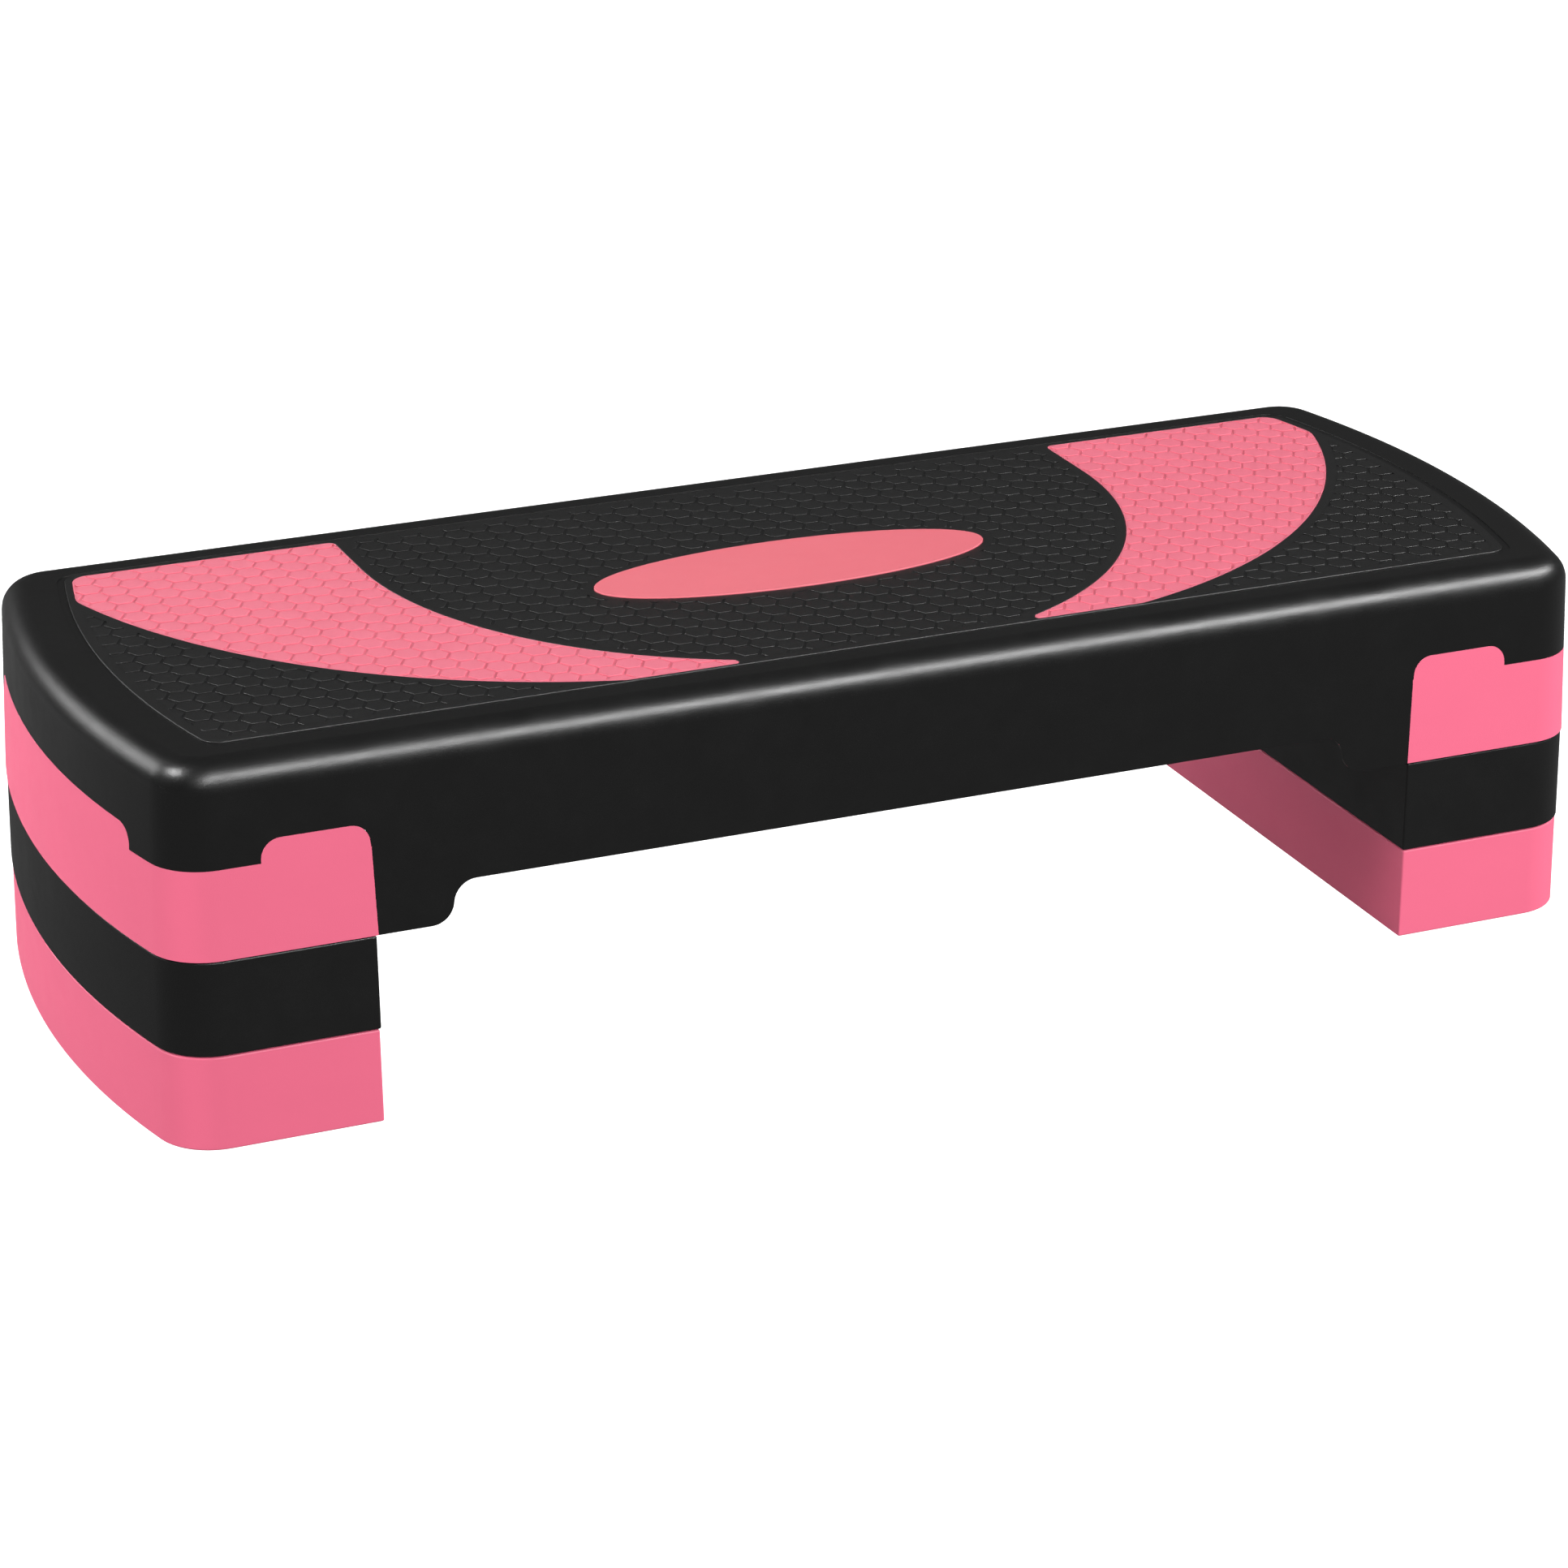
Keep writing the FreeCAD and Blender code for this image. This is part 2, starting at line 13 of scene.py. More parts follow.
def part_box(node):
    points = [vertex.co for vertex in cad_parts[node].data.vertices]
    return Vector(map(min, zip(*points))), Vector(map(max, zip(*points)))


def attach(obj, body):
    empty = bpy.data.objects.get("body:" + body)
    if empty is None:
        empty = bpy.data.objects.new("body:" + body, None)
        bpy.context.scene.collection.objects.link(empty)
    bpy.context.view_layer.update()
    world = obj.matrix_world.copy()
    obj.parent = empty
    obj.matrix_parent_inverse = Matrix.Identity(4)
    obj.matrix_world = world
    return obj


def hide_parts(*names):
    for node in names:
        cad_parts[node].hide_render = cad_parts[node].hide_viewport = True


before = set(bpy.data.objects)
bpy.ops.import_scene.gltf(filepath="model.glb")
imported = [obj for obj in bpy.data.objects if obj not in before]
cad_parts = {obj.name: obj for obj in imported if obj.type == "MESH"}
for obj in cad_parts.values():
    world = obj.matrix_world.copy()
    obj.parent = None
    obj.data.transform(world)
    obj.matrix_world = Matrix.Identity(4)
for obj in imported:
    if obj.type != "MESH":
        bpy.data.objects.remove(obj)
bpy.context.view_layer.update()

MM = 0.001
FLOOR_DROP = 0.125    # in metres: the floor is low enough to leave room for blocks that are taken off

# Plan sizes, in millimetres
block_low, block_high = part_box("right_low_riser")
HALF_L = block_high.x / MM
HALF_W = block_high.y / MM
INNER_X = block_low.x / MM        # flat inner face of the caps and risers
END_R = 560.0                     # plan radius of the rounded ends
CORNER_R = 30.0
TOP_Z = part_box("deck_shell")[1].z / MM
CAP_Z = 100.0                     # floor of the deck and caps
BAND_Z = 147.0                    # where a cap meets the deck skirt
RISER_H = 50.0
STANDOFF = 0.6                    # rubber feet hold the layers this far apart
DECK_LEAN = 3.5                   # deck and caps lean in this much over the deck's height
RISER_LEAN = 0.6

# Deck skirt
EDGE_ROUND = 15.0
SKIRT = 3.0
ARCH_RISE = 21.5
LUG_W = 27.5
ARCH_RUN = 23.5
FIT = 0.12
TAB_H = 12.0
SIDE_TAB_W = 57.0
END_TAB_IN = 43.0
TAB_R = 10.0
TAB_SEAT, END_TAB_SEAT = 7.0, 18.0    # how far the side tabs and the end tab reach in
RIB_HALF = 1.2                        # half a rib's thickness
RIB_DROP = 22.0                       # depth of the ribs under the deck
BORDER_STEP = 0.4                     # the band round the mat lies this much lower than the border
SCREW_SPOTS = ((INNER_X + 16, HALF_W - 47), (HALF_L - 22, 50.0))

# Tread mat and inlays
MAT_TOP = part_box("tread_mat")[1].z / MM
MAT_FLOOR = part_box("tread_mat")[0].z / MM
MAT_X, MAT_Y, MAT_R, MAT_CORNER = HALF_L - 36, HALF_W - 30.5, 520.0, 10.0
INLAY_Y = MAT_Y - 2
INLAY_X, INLAY_R = MAT_X - 4, MAT_R - 4
OVAL_HALF_X, OVAL_HALF_Y = 110.5, 35.5
CRESCENT_START = 211.0            # where its inner curve starts, at the back
CRESCENT_INNER_R = 221.0
CRESCENT_DIP = 47.5               # inner curve's centre, in front of the back edge
CRESCENT_OUTER_R = 315.0
CRESCENT_SHOULDER = 36.5          # where its outer curve leaves the mat's end, from the back edge
CRESCENT_FRONT = 142.5            # where its outer curve meets the front edge
CRESCENT_TIP = 11.0               # what the blunt tip takes off the point
TILE_PITCH = 14.0
TILE_H = 0.55
GROOVE = 1.7
PLAIN_BAND = 6.0                  # untextured margin of the black mat

# Riser blocks and caps
WALL = 3.0
ROOF = 3.6
STUD_R, STUD_H = 11.0, 9.0
STUD_SPOTS = ((INNER_X + 26, HALF_W - 74), (INNER_X + 84, HALF_W - 74))
FOOT_R = 8.15
FOOT_DEPTH = 4.0
SOCKET_GAP, SOCKET_WALL = 0.5, 2.6
FOOT_WALL = 2.45


# --- Hand tools ---

def put_down():
    """Leave edit mode and let go of everything."""
    if bpy.context.mode != 'OBJECT':
        bpy.ops.object.mode_set(mode='OBJECT')
    bpy.ops.object.select_all(action='DESELECT')


def pick_up(piece, select='SELECT'):
    """Take one piece into edit mode with all or none of it selected."""
    put_down()
    piece.select_set(True)
    bpy.context.view_layer.objects.active = piece
    bpy.ops.object.mode_set(mode='EDIT')
    bpy.ops.mesh.select_mode(type='VERT')
    bpy.ops.mesh.select_all(action=select)


def pick_faces(piece, wanted):
    """Take one piece into edit mode with the wanted faces selected."""
    pick_up(piece, 'DESELECT')
    bpy.ops.mesh.select_mode(type='FACE')
    bpy.ops.object.mode_set(mode='OBJECT')
    for face in piece.data.polygons:
        face.select = wanted(face)
    bpy.ops.object.mode_set(mode='EDIT')


def named(piece, name):
    piece.name = name
    piece.data.name = name
    return piece


def draw(name, plane, height, start, strokes):
    """A flat face drawn in a plane: straight strokes ("to", u, v) and arcs ("round", u, v, degrees, steps)
    about a centre. Degrees count from u towards v. Plane XY lies at a z, XZ at a y and YZ at an x."""
    across, up, out = {"XY": ((1, 0, 0), (0, 1, 0), (0, 0, 1)),
                       "XZ": ((1, 0, 0), (0, 0, 1), (0, 1, 0)),
                       "YZ": ((0, 1, 0), (0, 0, 1), (1, 0, 0))}[plane]
    axis = Vector(across).cross(Vector(up))

    def place(u, v):
        return (Vector(across) * u + Vector(up) * v + Vector(out) * height) * MM

    put_down()
    bpy.ops.mesh.primitive_plane_add(size=0.01)
    face = named(bpy.context.active_object, name)
    pick_up(face)
    bpy.ops.mesh.merge(type='CENTER')
    bpy.ops.transform.translate(value=place(*start))
    at = Vector(start)
    for stroke in strokes:
        if stroke[0] == "to":
            there = Vector(stroke[1:3])
            bpy.ops.mesh.extrude_region_move(TRANSFORM_OT_translate={"value": place(*there) - place(*at)})
            at = there
        else:
            centre = Vector(stroke[1:3])
            turn = math.radians(stroke[3])
            bpy.ops.mesh.spin(steps=stroke[4], angle=-turn, center=place(*centre), axis=axis)
            at = centre + Matrix.Rotation(turn, 2) @ (at - centre)
    bpy.ops.mesh.select_all(action='SELECT')
    bpy.ops.mesh.remove_doubles(threshold=0.02 * MM)
    bpy.ops.mesh.edge_face_add()
    bpy.ops.object.mode_set(mode='OBJECT')
    if face.data.polygons[0].normal.dot(Vector(out)) < 0:
        pick_up(face)
        bpy.ops.mesh.flip_normals()
    put_down()
    return face


def thicken(face, move):
    """A drawn face pulled along a way, in millimetres, into a closed prism."""
    pick_up(face)
    bpy.ops.mesh.extrude_region_move(TRANSFORM_OT_translate={"value": Vector(move) * MM})
    bpy.ops.mesh.select_all(action='SELECT')
    bpy.ops.mesh.normals_make_consistent(inside=False)
    put_down()
    return face


def taper(face, height, lean, round_r=0.0, steps=8):
    """A drawn face raised into a closed form whose walls lean in and whose top edge is rounded."""
    pick_up(face)
    bpy.ops.mesh.inset(thickness=lean * MM, depth=height * MM, use_even_offset=True)
    if round_r:
        bpy.ops.mesh.bevel(offset=round_r * MM, segments=steps, profile=0.5, affect='EDGES',
                           clamp_overlap=False)
    bpy.ops.mesh.select_all(action='DESELECT')
    bpy.ops.mesh.select_mode(type='EDGE')
    bpy.ops.mesh.select_non_manifold()
    bpy.ops.mesh.edge_face_add()
    bpy.ops.mesh.select_all(action='SELECT')
    bpy.ops.mesh.normals_make_consistent(inside=False)
    put_down()
    return face


def bar(name, x0, x1, y0, y1, z0, z1):
    """A straight bar between two corners."""
    put_down()
    bpy.ops.mesh.primitive_cube_add(size=MM)
    piece = named(bpy.context.active_object, name)
    pick_up(piece)
    bpy.ops.transform.resize(value=(x1 - x0, y1 - y0, z1 - z0))
    bpy.ops.transform.translate(value=Vector((x0 + x1, y0 + y1, z0 + z1)) / 2 * MM)
    put_down()
    return piece


def post(name, x, y, z0, z1, r, steps=40):
    """A round post standing at a place."""
    put_down()
    bpy.ops.mesh.primitive_cylinder_add(vertices=steps, radius=r * MM, depth=(z1 - z0) * MM)
    piece = named(bpy.context.active_object, name)
    pick_up(piece)
    bpy.ops.transform.translate(value=Vector((x, y, (z0 + z1) / 2)) * MM)
    put_down()
    return piece


def joined(pieces, name):
    """Several loose pieces as one."""
    put_down()
    for piece in pieces:
        piece.select_set(True)
    bpy.context.view_layer.objects.active = pieces[0]
    if len(pieces) > 1:
        bpy.ops.object.join()
    put_down()
    return named(pieces[0], name)


def copied(piece, name):
    """A copy with its own mesh."""
    put_down()
    piece.select_set(True)
    bpy.context.view_layer.objects.active = piece
    bpy.ops.object.duplicate()
    other = bpy.context.active_object
    put_down()
    return named(other, name)


def moved(piece, x=0.0, y=0.0, z=0.0):
    """The same piece, moved in its mesh by millimetres."""
    pick_up(piece)
    bpy.ops.transform.translate(value=Vector((x, y, z)) * MM)
    put_down()
    return piece


def mirrored(piece, name, axis=0):
    """The mirror image of a piece across the middle of the step."""
    other = copied(piece, name)
    pick_up(other)
    sides = [1, 1, 1]
    sides[axis] = -1
    bpy.ops.transform.resize(value=sides, center_override=(0, 0, 0))
    bpy.ops.mesh.flip_normals()
    put_down()
    return other


def four_of(piece, name):
    """The piece in front and behind."""
    return joined([piece, mirrored(piece, name + "_behind", 1)], name)


def apply_tool(piece, kind, **settings):
    """Add one modifier and apply it."""
    put_down()
    piece.select_set(True)
    bpy.context.view_layer.objects.active = piece
    tool = piece.modifiers.new(kind.title(), kind)
    for key, value in settings.items():
        setattr(tool, key, value)
    bpy.ops.object.modifier_apply(modifier=tool.name)
    put_down()


def carve(piece, tool, way='DIFFERENCE'):
    """Cut a piece with a tool, weld the tool on, or keep only what both share."""
    apply_tool(piece, 'BOOLEAN', operation=way, object=tool, solver='EXACT')
    bpy.data.objects.remove(tool)
    return piece


def soften(piece, width, steps=2, angle=40):
    """Clean up after the cuts and ease the sharp edges."""
    pick_up(piece)
    bpy.ops.mesh.remove_doubles(threshold=0.01 * MM)
    bpy.ops.mesh.dissolve_limited(angle_limit=math.radians(0.3))
    put_down()
    if width:
        apply_tool(piece, 'BEVEL', width=width * MM, segments=steps, limit_method='ANGLE',
                   angle_limit=math.radians(angle), miter_outer='MITER_ARC', use_clamp_overlap=True)
    return piece


def shade(piece):
    """Smooth shading over soft edges, with the flat faces kept flat."""
    put_down()
    piece.select_set(True)
    bpy.context.view_layer.objects.active = piece
    bpy.ops.object.shade_smooth_by_angle(angle=math.radians(32))
    put_down()
    apply_tool(piece, 'WEIGHTED_NORMAL', mode='FACE_AREA', weight=50, keep_sharp=True)
    return piece


# --- Outlines ---

def corner_of(half_l, half_w, end_r, corner_r):
    """Centre of the corner arc between a side and a rounded end, and the end arc's half angle in degrees."""
    run = math.sqrt((end_r - corner_r) ** 2 - (half_w - corner_r) ** 2)
    return half_l - end_r + run, half_w - corner_r, math.degrees(math.atan2(half_w - corner_r, run))


def step_outline(name, half_l, half_w, end_r, corner_r, z):
    """The whole step in plan."""
    cx, cy, swing = corner_of(half_l, half_w, end_r, corner_r)
    ox = half_l - end_r
    quarter = 90 - swing
    return draw(name, "XY", z, (-cx, -half_w), [
        ("to", cx, -half_w), ("round", cx, -cy, quarter, 10), ("round", ox, 0, 2 * swing, 40),
        ("round", cx, cy, quarter, 10), ("to", -cx, half_w), ("round", -cx, cy, quarter, 10),
        ("round", -ox, 0, 2 * swing, 40), ("round", -cx, -cy, quarter, 10)])


def deck_outline(name, inset, z):
    i = inset + lean_at(z)
    return step_outline(name, HALF_L - i, HALF_W - i, END_R - i, CORNER_R - i, z)


def block_outline(name, inset, z):
    """One end block in plan: flat towards the middle, rounded outwards."""
    half_w = HALF_W - inset
    half_l = HALF_L - inset
    cx, cy, swing = corner_of(half_l, half_w, END_R - inset, CORNER_R - inset)
    inner = INNER_X + inset
    return draw(name, "XY", z, (inner, -half_w), [
        ("to", cx, -half_w), ("round", cx, -cy, 90 - swing, 10), ("round", HALF_L - END_R, 0, 2 * swing, 40),
        ("round", cx, cy, 90 - swing, 10), ("to", inner, half_w), ("to", inner, -half_w)])


def lean_at(z):
    """How far the deck and caps stand in from their full plan at a height."""
    return DECK_LEAN * (z - CAP_Z) / (TOP_Z - CAP_Z)


def tab_outline(name, plane, height, low, high, top, grow, lean=0.0):
    """A tab with rounded top corners, seen from outside. Its lower end may lean with the cap's inner face."""
    r = TAB_R + grow
    foot = BAND_Z - 4
    low, high, top = low - grow, high + grow, top + grow
    return draw(name, plane, height, (low, foot), [
        ("to", high, foot), ("to", high, top - r), ("round", high - r, top - r, 90, 8),
        ("to", low + lean + r, top), ("round", low + lean + r, top - r, 90, 8), ("to", low, foot)])


def mat_outline(name, inset, z):
    return step_outline(name, MAT_X - inset, MAT_Y - inset, MAT_R - inset, max(MAT_CORNER - inset, 2.0), z)


def oval_outline(name, grow, z):
    put_down()
    bpy.ops.mesh.primitive_circle_add(vertices=128, radius=MM, fill_type='NGON')
    oval = named(bpy.context.active_object, name)
    pick_up(oval)
    bpy.ops.transform.resize(value=(OVAL_HALF_X + grow, OVAL_HALF_Y + grow, 1))
    bpy.ops.transform.translate(value=(0, 0, z * MM))
    put_down()
    return oval


def crescent_outline(name, grow, z):
    """The crescent inlay of the +X end."""
    inner = Vector((CRESCENT_START - CRESCENT_INNER_R, INLAY_Y - CRESCENT_DIP))
    inner_r = CRESCENT_INNER_R - grow
    end_ox = INLAY_X - INLAY_R
    end_r = INLAY_R + grow
    back_y = INLAY_Y + grow
    corner_y = INLAY_Y - CRESCENT_SHOULDER
    shoulder = Vector((end_ox + math.sqrt(INLAY_R ** 2 - corner_y ** 2), corner_y))
    front = Vector((CRESCENT_FRONT, -INLAY_Y))
    half = (shoulder - front) / 2
    reach_back = math.sqrt(CRESCENT_OUTER_R ** 2 - half.length ** 2)
    outer = front + half + Vector((-half.y, half.x)).normalized() * reach_back
    outer_r = CRESCENT_OUTER_R + grow
    point_x = inner.x + math.sqrt(CRESCENT_INNER_R ** 2 - (INLAY_Y + inner.y) ** 2)
    tip_x = point_x + CRESCENT_TIP - grow

    def turn(centre, point):
        return math.degrees(math.atan2(point.y - centre.y, point.x - centre.x))

    front_x = outer.x + math.sqrt(outer_r ** 2 - (back_y + outer.y) ** 2)
    gap = outer.x - end_ox
    reach = Vector((end_ox, 0)) - outer
    along = (outer_r ** 2 - end_r ** 2 + reach.length_squared) / (2 * reach.length)
    up = math.sqrt(outer_r ** 2 - along ** 2)
    meets = [outer + reach.normalized() * along + side * up * Vector((-reach.y, reach.x)).normalized()
             for side in (-1, 1)]
    meet = max(meets, key=lambda p: p.x)
    end = Vector((end_ox, 0))
    corner_r = MAT_CORNER
    run = math.sqrt((end_r - corner_r) ** 2 - (back_y - corner_r) ** 2)
    cx, cy = end_ox + run, back_y - corner_r
    swing = math.degrees(math.atan2(cy, run))
    start_x = CRESCENT_START - grow
    tip_y = inner.y - math.sqrt(inner_r ** 2 - (tip_x - inner.x) ** 2)
    strokes = [("to", front_x, -back_y),
               ("round", outer.x, outer.y, turn(outer, meet) - turn(outer, Vector((front_x, -back_y))), 36),
               ("round", end.x, end.y, swing - turn(end, meet), 6),
               ("round", cx, cy, 90 - swing, 8),
               ("to", start_x, back_y), ("to", inner.x + inner_r, inner.y),
               ("round", inner.x, inner.y, turn(inner, Vector((tip_x, tip_y))), 36),
               ("to", tip_x, -back_y)]
    face = draw(name, "XY", z, (tip_x, -back_y), strokes)
    corners = ((tip_x, -back_y), 2.2), ((tip_x, tip_y), 2.2), ((start_x, back_y), 4.0), (meet, 4.0)
    for spot, radius in corners:
        pick_up(face, 'DESELECT')
        bpy.ops.object.mode_set(mode='OBJECT')
        there = Vector((spot[0], spot[1], z)) * MM
        near = min(face.data.vertices, key=lambda v: (v.co - there).length)
        near.select = True
        bpy.ops.object.mode_set(mode='EDIT')
        bpy.ops.mesh.bevel(offset=radius * MM, segments=5, affect='VERTICES')
    put_down()
    return face


# --- Deck ---

def skirt_knife():
    """What is cut away below the skirt: the caps' seats at the ends and the arch in the middle."""
    low = CAP_Z - 5
    lug_z = CAP_Z + STANDOFF
    lug_x = INNER_X - LUG_W
    run, rise = ARCH_RUN / 2, ARCH_RISE / 2
    r = (run ** 2 + rise ** 2) / (2 * rise)
    turn = math.degrees(math.atan2(rise, run)) * 2
    seat_x = INNER_X - FIT
    seat_z = BAND_Z + FIT
    far = HALF_L + 5
    arch_x = lug_x - ARCH_RUN
    face = draw("skirt_knife", "XZ", -HALF_W - 5, (-far, low), [
        ("to", far, low), ("to", far, seat_z), ("to", seat_x + lean_at(seat_z), seat_z),
        ("to", seat_x, lug_z), ("to", lug_x, lug_z), ("round", lug_x, lug_z + r, -turn, 8),
        ("round", arch_x, lug_z + ARCH_RISE - r, turn, 8), ("to", -arch_x, lug_z + ARCH_RISE),
        ("round", -arch_x, lug_z + ARCH_RISE - r, turn, 8), ("round", -lug_x, lug_z + r, -turn, 8),
        ("to", -seat_x, lug_z), ("to", -seat_x - lean_at(seat_z), seat_z), ("to", -far, seat_z),
        ("to", -far, low)])
    return thicken(face, (0, 2 * HALF_W + 10, 0))


def tab_prisms(name, grow, depth, end_depth):
    """The three tabs of one end as prisms that reach in from outside."""
    side = tab_outline(name + "_side", "XZ", -HALF_W - 1, INNER_X + lean_at(BAND_Z - 4), INNER_X + SIDE_TAB_W,
                       BAND_Z + TAB_H, grow, lean_at(BAND_Z + TAB_H) - lean_at(BAND_Z - 4))
    side = thicken(side, (0, depth + 1, 0))
    end = tab_outline(name + "_end", "YZ", HALF_L + 1, -HALF_W + END_TAB_IN, HALF_W - END_TAB_IN,
                      BAND_Z + TAB_H, grow)
    end = thicken(end, (-end_depth - 1, 0, 0))
    return joined([four_of(side, name + "_sides"), end], name)


def even_places(low, high, pitch):
    """Places between two ends, in even bays of about a pitch."""
    bays = max(2, round((high - low) / pitch))
    return [low + (high - low) * i / bays for i in range(1, bays)]


def deck_moulding():
    """The deck: rounded shell, seats for the caps and the mat, ribs and screw bosses."""
    shell = taper(deck_outline("deck_moulding", 0, CAP_Z), TOP_Z - CAP_Z, DECK_LEAN, EDGE_ROUND, 12)
    under = MAT_FLOOR - ROOF
    hollow = taper(deck_outline("deck_hollow", SKIRT, CAP_Z), under - CAP_Z,
                   DECK_LEAN * (under - CAP_Z) / (TOP_Z - CAP_Z), EDGE_ROUND - SKIRT, 6)
    moved(hollow, z=-0.05)
    room = copied(hollow, "rib_room")
    carve(shell, hollow)
    carve(shell, skirt_knife())
    pockets = tab_prisms("tab_pockets", FIT, TAB_SEAT, END_TAB_SEAT)
    carve(shell, mirrored(pockets, "far_pockets"))
    carve(shell, pockets)
    carve(shell, thicken(mat_outline("border_step", -4.0, TOP_Z - BORDER_STEP), (0, 0, 5)))
    carve(shell, thicken(mat_outline("mat_recess", -FIT, MAT_FLOOR), (0, 0, 8)))
    ribs = []
    for x in even_places(-HALF_L, HALF_L, 62):
        ribs.append(bar("cross_rib", x - RIB_HALF, x + RIB_HALF, -HALF_W, HALF_W, under - RIB_DROP, under + 2))
    for y in even_places(-HALF_W, HALF_W, HALF_W / 2):
        ribs.append(bar("long_rib", -HALF_L, HALF_L, y - RIB_HALF, y + RIB_HALF, under - RIB_DROP, under + 2))
    grid = ribs[0]
    for rib in ribs[1:]:
        carve(grid, rib, 'UNION')
    carve(grid, room, 'INTERSECT')
    soften(shell, 0.6)
    soften(grid, 0.3, 1)
    bosses = []
    for x, y in SCREW_SPOTS:
        boss = post("screw_boss", x, -y, BAND_Z + FIT, under + 1, 5.5)
        carve(boss, post("pilot", x, -y, BAND_Z - 1, BAND_Z + 17, 2.05))
        bosses.append(boss)
    bosses = four_of(joined(bosses, "screw_bosses"), "screw_bosses")
    return joined([shell, moved(grid, z=0.3), bosses, mirrored(bosses, "far_bosses")], "deck_moulding")


# --- Tread ---

def hexagon_tiles():
    """The whole tread pattern: one chamfered hexagon, repeated in two rows over the mat."""
    flat_r = (TILE_PITCH - GROOVE) / 2
    put_down()
    bpy.ops.mesh.primitive_cylinder_add(vertices=6, radius=flat_r / math.cos(math.radians(30)) * MM,
                                        depth=(TILE_H + 0.1) * MM)
    tile = named(bpy.context.active_object, "hexagon_tiles")
    pick_up(tile)
    bpy.ops.transform.rotate(value=math.radians(30), orient_axis='Z', center_override=(0, 0, 0))
    pick_faces(tile, lambda face: face.normal.z > 0.9)
    bpy.ops.mesh.bevel(offset=0.15 * MM, segments=1, affect='EDGES')
    put_down()
    step_x = TILE_PITCH * math.cos(math.radians(30))
    columns = int(MAT_X / (2 * step_x)) + 1
    rows = int(MAT_Y / TILE_PITCH) + 1
    moved(tile, -2 * step_x * columns, -TILE_PITCH * rows, MAT_TOP - (TILE_H + 0.1) / 2)
    tile = joined([tile, moved(copied(tile, "odd_tile"), step_x, TILE_PITCH / 2)], "hexagon_tiles")
    for count, offset in ((2 * rows + 1, (0, TILE_PITCH * MM, 0)),
                          (2 * columns + 1, (2 * step_x * MM, 0, 0))):
        apply_tool(tile, 'ARRAY', count=count, use_relative_offset=False, use_constant_offset=True,
                   constant_offset_displace=offset)
    return tile


def prism(outline, height):
    return thicken(outline, (0, 0, height))


def textured_region(name, grow, z):
    """The black field of the mat that carries tiles."""
    band = PLAIN_BAND - grow
    field = prism(mat_outline(name, band, z), 5)
    gap = prism(crescent_outline("crescent_band", band, z - 1), 8)
    carve(field, mirrored(gap, "far_band"))
    carve(field, gap)
    carve(field, prism(oval_outline("oval_band", band, z - 1), 8))
    return field


def tread_sheet(tiles):
    """The black mat, with openings for the inlays and a tiled field."""
    sheet = prism(mat_outline("tread_sheet", 0, MAT_FLOOR), MAT_TOP - MAT_FLOOR)
    gap = prism(crescent_outline("crescent_gap", FIT, MAT_FLOOR - 1), 8)
    carve(sheet, mirrored(gap, "far_gap"))
    carve(sheet, gap)
    carve(sheet, prism(oval_outline("oval_gap", FIT, MAT_FLOOR - 1), 8))
    soften(sheet, 0.6, 3)
    carve(sheet, textured_region("texture_pocket", 0, MAT_TOP - TILE_H))
    field = copied(tiles, "field_tiles")
    carve(field, textured_region("texture_field", 0.15, MAT_TOP - 2), 'INTERSECT')
    return joined([sheet, field], "tread_sheet")


def crescent(tiles):
    """The inlay of the +X end, tiled up to a narrow rim."""
    plate = prism(crescent_outline("right_crescent", 0, MAT_FLOOR), MAT_TOP - MAT_FLOOR)
    soften(plate, 0.35, 2)
    carve(plate, prism(crescent_outline("crescent_pocket", -0.9, MAT_TOP - TILE_H), 5))
    field = copied(tiles, "crescent_tiles")
    carve(field, prism(crescent_outline("crescent_field", -0.75, MAT_TOP - 2), 5), 'INTERSECT')
    return joined([plate, field], "right_crescent")


def oval_plate():
    """Smooth oval with a lowered ring inside its rim."""
    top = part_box("oval_badge")[1].z / MM
    plate = prism(oval_outline("oval_plate", 0, MAT_FLOOR), top - MAT_FLOOR)
    pick_faces(plate, lambda face: face.normal.z > 0.9)
    bpy.ops.mesh.inset(thickness=2.2 * MM)
    bpy.ops.mesh.inset(thickness=0.5 * MM, depth=-0.25 * MM)
    put_down()
    return soften(plate, 0.5, 3, 60)


# --- End blocks ---

def block_body(name, z0, height, lean):
    """Hollow end block, open below."""
    body = taper(block_outline(name, 0, z0), height, lean)
    hollow = taper(block_outline(name + "_hollow", WALL, z0 - 0.5), height - ROOF + 0.5, lean)
    return carve(body, hollow)


